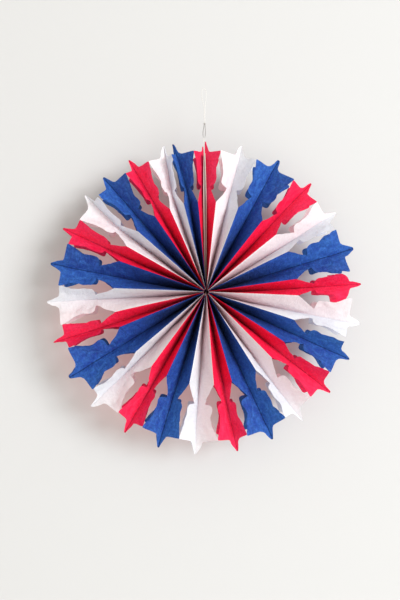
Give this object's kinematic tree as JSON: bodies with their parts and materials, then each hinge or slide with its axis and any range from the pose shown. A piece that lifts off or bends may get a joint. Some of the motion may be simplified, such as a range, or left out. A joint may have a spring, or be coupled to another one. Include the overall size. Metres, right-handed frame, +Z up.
{
  "type": "paper fan rosette",
  "caption": "Round hanging decoration of die-cut tissue sheets in three colours, opened into a star-edged rosette of folded petals, with a thread loop at the top.",
  "frame": {"origin": "the middle of the fan: centre of its hub, in the middle plane between its front and back", "axes": "+Z up along the hanging thread, -Y to the front (the fan's hub axis runs along Y), +X to the right seen from the front"},
  "size_m": [0.3994, 0.064, 0.4709],
  "materials": {
    "red_tissue": "matte, thin and translucent",
    "blue_tissue": "matte, thin and translucent",
    "white_tissue": "matte, thin and translucent",
    "greyboard": "matte",
    "thread": "matte"
  },
  "bodies": {
    "root": {"red_sheet_01": "red_tissue", "red_sheet_02": "red_tissue", "red_sheet_03": "red_tissue", "red_sheet_04": "red_tissue", "red_sheet_05": "red_tissue", "red_sheet_06": "red_tissue", "red_sheet_07": "red_tissue", "red_sheet_08": "red_tissue", "red_sheet_09": "red_tissue", "red_sheet_10": "red_tissue", "red_sheet_11": "red_tissue", "red_sheet_12": "red_tissue", "red_sheet_13": "red_tissue", "red_sheet_14": "red_tissue", "red_sheet_15": "red_tissue", "red_sheet_16": "red_tissue", "red_sheet_17": "red_tissue", "red_sheet_18": "red_tissue", "blue_sheet_01": "blue_tissue", "blue_sheet_02": "blue_tissue", "blue_sheet_03": "blue_tissue", "blue_sheet_04": "blue_tissue", "blue_sheet_05": "blue_tissue", "blue_sheet_06": "blue_tissue", "blue_sheet_07": "blue_tissue", "blue_sheet_08": "blue_tissue", "blue_sheet_09": "blue_tissue", "blue_sheet_10": "blue_tissue", "blue_sheet_11": "blue_tissue", "blue_sheet_12": "blue_tissue", "blue_sheet_13": "blue_tissue", "blue_sheet_14": "blue_tissue", "blue_sheet_15": "blue_tissue", "blue_sheet_16": "blue_tissue", "blue_sheet_17": "blue_tissue", "blue_sheet_18": "blue_tissue", "white_sheet_01": "white_tissue", "white_sheet_02": "white_tissue", "white_sheet_03": "white_tissue", "white_sheet_04": "white_tissue", "white_sheet_05": "white_tissue", "white_sheet_06": "white_tissue", "white_sheet_07": "white_tissue", "white_sheet_08": "white_tissue", "white_sheet_09": "white_tissue", "white_sheet_10": "white_tissue", "white_sheet_11": "white_tissue", "white_sheet_12": "white_tissue", "white_sheet_13": "white_tissue", "white_sheet_14": "white_tissue", "white_sheet_15": "white_tissue", "white_sheet_16": "white_tissue", "white_sheet_17": "white_tissue", "white_sheet_18": "white_tissue", "left_strip": "greyboard", "right_strip": "greyboard", "hanging_thread": "thread"}
  },
  "joints": []
}
